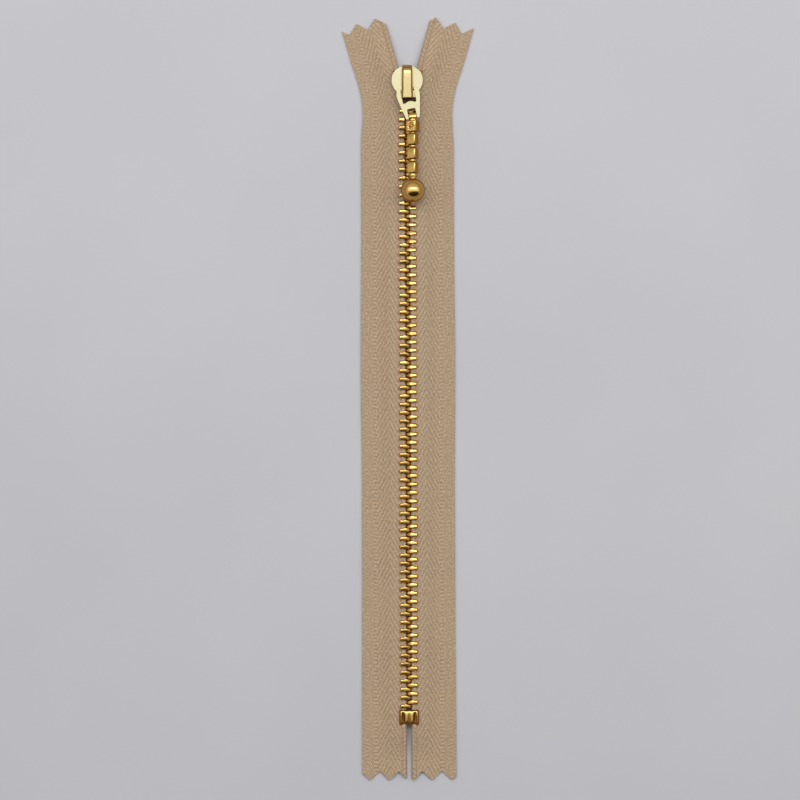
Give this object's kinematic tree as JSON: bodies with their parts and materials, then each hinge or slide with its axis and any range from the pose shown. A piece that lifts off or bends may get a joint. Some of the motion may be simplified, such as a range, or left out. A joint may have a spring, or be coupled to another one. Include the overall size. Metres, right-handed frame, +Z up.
{
  "type": "metal zipper",
  "caption": "Closed-end metal zipper on woven tape, with a locking slider and a ball-and-bar pull, closed and lying flat.",
  "frame": {"origin": "on the table, under the middle of the bounding box", "axes": "+Y along the chain towards the slider and the open end, +Z up out of the zipper's face, +X to the right seen from above"},
  "size_m": [0.0355, 0.2058, 0.0099],
  "materials": {
    "tape": "woven polyester herringbone, matt",
    "teeth": "polished gold-tone brass",
    "stops": "polished gold-tone brass",
    "slider": "pale gold plate, bright",
    "pull": "polished brass casting, toned in its recesses",
    "lock": "spring steel"
  },
  "bodies": {
    "base": {"bottom_stop": "stops", "left_tape_foot": "tape", "right_tape_foot": "tape", "left_teeth_foot": "teeth", "right_teeth_foot": "teeth"},
    "left_stretch_1": {"left_tape_1": "tape", "left_teeth_1": "teeth"},
    "left_stretch_2": {"left_tape_2": "tape", "left_teeth_2": "teeth"},
    "left_stretch_3": {"left_tape_3": "tape", "left_teeth_3": "teeth"},
    "left_stretch_4": {"left_tape_4": "tape", "left_teeth_4": "teeth"},
    "left_tail": {"left_tape_tail": "tape", "left_teeth_tail": "teeth", "left_top_stop": "stops"},
    "right_stretch_1": {"right_tape_1": "tape", "right_teeth_1": "teeth"},
    "right_stretch_2": {"right_tape_2": "tape", "right_teeth_2": "teeth"},
    "right_stretch_3": {"right_tape_3": "tape", "right_teeth_3": "teeth"},
    "right_stretch_4": {"right_tape_4": "tape", "right_teeth_4": "teeth"},
    "right_tail": {"right_tape_tail": "tape", "right_teeth_tail": "teeth", "right_top_stop": "stops"},
    "slider": {"slider_body": "slider", "crown_cap": "slider"},
    "pawl": {"lock_pawl": "lock"},
    "link": {"pull_link": "slider"},
    "stick": {"pull_stick": "pull"}
  },
  "joints": [
    {"name": "slider_travel", "type": "slide", "parent": "base", "child": "slider", "axis": [0, -1, 0], "range_m": [0, 0.1627]},
    {"name": "left_bend_1", "type": "hinge", "parent": "base", "child": "left_stretch_1", "pos_m": [-0.00145, -0.07951, 0.0021], "axis": [0, 0, 1], "range_deg": [0, 15.5], "deforming": ["left_tape_foot", "left_teeth_foot", "left_tape_1", "left_teeth_1"]},
    {"name": "left_bend_2", "type": "hinge", "parent": "left_stretch_1", "child": "left_stretch_2", "pos_m": [-0.00145, -0.06143, 0.0021], "axis": [0, 0, 1], "range_deg": [-4, 0], "deforming": ["left_tape_2", "left_teeth_2"]},
    {"name": "left_bend_3", "type": "hinge", "parent": "left_stretch_2", "child": "left_stretch_3", "pos_m": [-0.00145, -0.02979, 0.0021], "axis": [0, 0, 1], "range_deg": [-3.5, 0], "deforming": ["left_tape_3", "left_teeth_3"]},
    {"name": "left_bend_4", "type": "hinge", "parent": "left_stretch_3", "child": "left_stretch_4", "pos_m": [-0.00145, 0.01541, 0.0021], "axis": [0, 0, 1], "range_deg": [-3, 0], "deforming": ["left_tape_4", "left_teeth_4"]},
    {"name": "left_tail_bend", "type": "hinge", "parent": "left_stretch_4", "child": "left_tail", "pos_m": [-0.00145, 0.08321, 0.0021], "axis": [0, 0, 1], "range_deg": [-15.5, 0], "deforming": ["left_tape_tail", "left_teeth_tail"]},
    {"name": "right_bend_1", "type": "hinge", "parent": "base", "child": "right_stretch_1", "pos_m": [0.00145, -0.08064, 0.0021], "axis": [0, 0, -1], "range_deg": [0, 15.5], "deforming": ["right_tape_foot", "right_teeth_foot", "right_tape_1", "right_teeth_1"]},
    {"name": "right_bend_2", "type": "hinge", "parent": "right_stretch_1", "child": "right_stretch_2", "pos_m": [0.00145, -0.06256, 0.0021], "axis": [0, 0, -1], "range_deg": [-4, 0], "deforming": ["right_tape_2", "right_teeth_2"]},
    {"name": "right_bend_3", "type": "hinge", "parent": "right_stretch_2", "child": "right_stretch_3", "pos_m": [0.00145, -0.03092, 0.0021], "axis": [0, 0, -1], "range_deg": [-3.5, 0], "deforming": ["right_tape_3", "right_teeth_3"]},
    {"name": "right_bend_4", "type": "hinge", "parent": "right_stretch_3", "child": "right_stretch_4", "pos_m": [0.00145, 0.01428, 0.0021], "axis": [0, 0, -1], "range_deg": [-3, 0], "deforming": ["right_tape_4", "right_teeth_4"]},
    {"name": "right_tail_bend", "type": "hinge", "parent": "right_stretch_4", "child": "right_tail", "pos_m": [0.00145, 0.08208, 0.0021], "axis": [0, 0, -1], "range_deg": [-15.5, 0], "deforming": ["right_tape_tail", "right_teeth_tail"]},
    {"name": "pull_link_swing", "type": "hinge", "parent": "slider", "child": "link", "pos_m": [0, 0.0832, 0.005], "axis": [-0.9799, -0.1994, 0], "range_deg": [0, 135]},
    {"name": "pull_stick_swing", "type": "hinge", "parent": "link", "child": "stick", "pos_m": [0.00147, 0.076, 0.005], "axis": [-0.9799, -0.1994, 0], "range_deg": [0, 50]},
    {"name": "lock_lift", "type": "hinge", "parent": "slider", "child": "pawl", "pos_m": [0, 0.0885, 0.00567], "axis": [-1, 0, 0], "range_deg": [0, 3]}
  ],
  "couplings": [
    {"joint": "left_bend_1", "follows": "slider_travel", "rad_per_m": 1.662},
    {"joint": "left_bend_2", "follows": "slider_travel", "rad_per_m": -0.429},
    {"joint": "left_bend_3", "follows": "slider_travel", "rad_per_m": -0.375},
    {"joint": "left_bend_4", "follows": "slider_travel", "rad_per_m": -0.321},
    {"joint": "left_tail_bend", "follows": "slider_travel", "rad_per_m": -1.662},
    {"joint": "right_bend_1", "follows": "slider_travel", "rad_per_m": 1.662},
    {"joint": "right_bend_2", "follows": "slider_travel", "rad_per_m": -0.429},
    {"joint": "right_bend_3", "follows": "slider_travel", "rad_per_m": -0.375},
    {"joint": "right_bend_4", "follows": "slider_travel", "rad_per_m": -0.321},
    {"joint": "right_tail_bend", "follows": "slider_travel", "rad_per_m": -1.662},
    {"joint": "lock_lift", "follows": "pull_link_swing", "ratio": 0.0222}
  ]
}
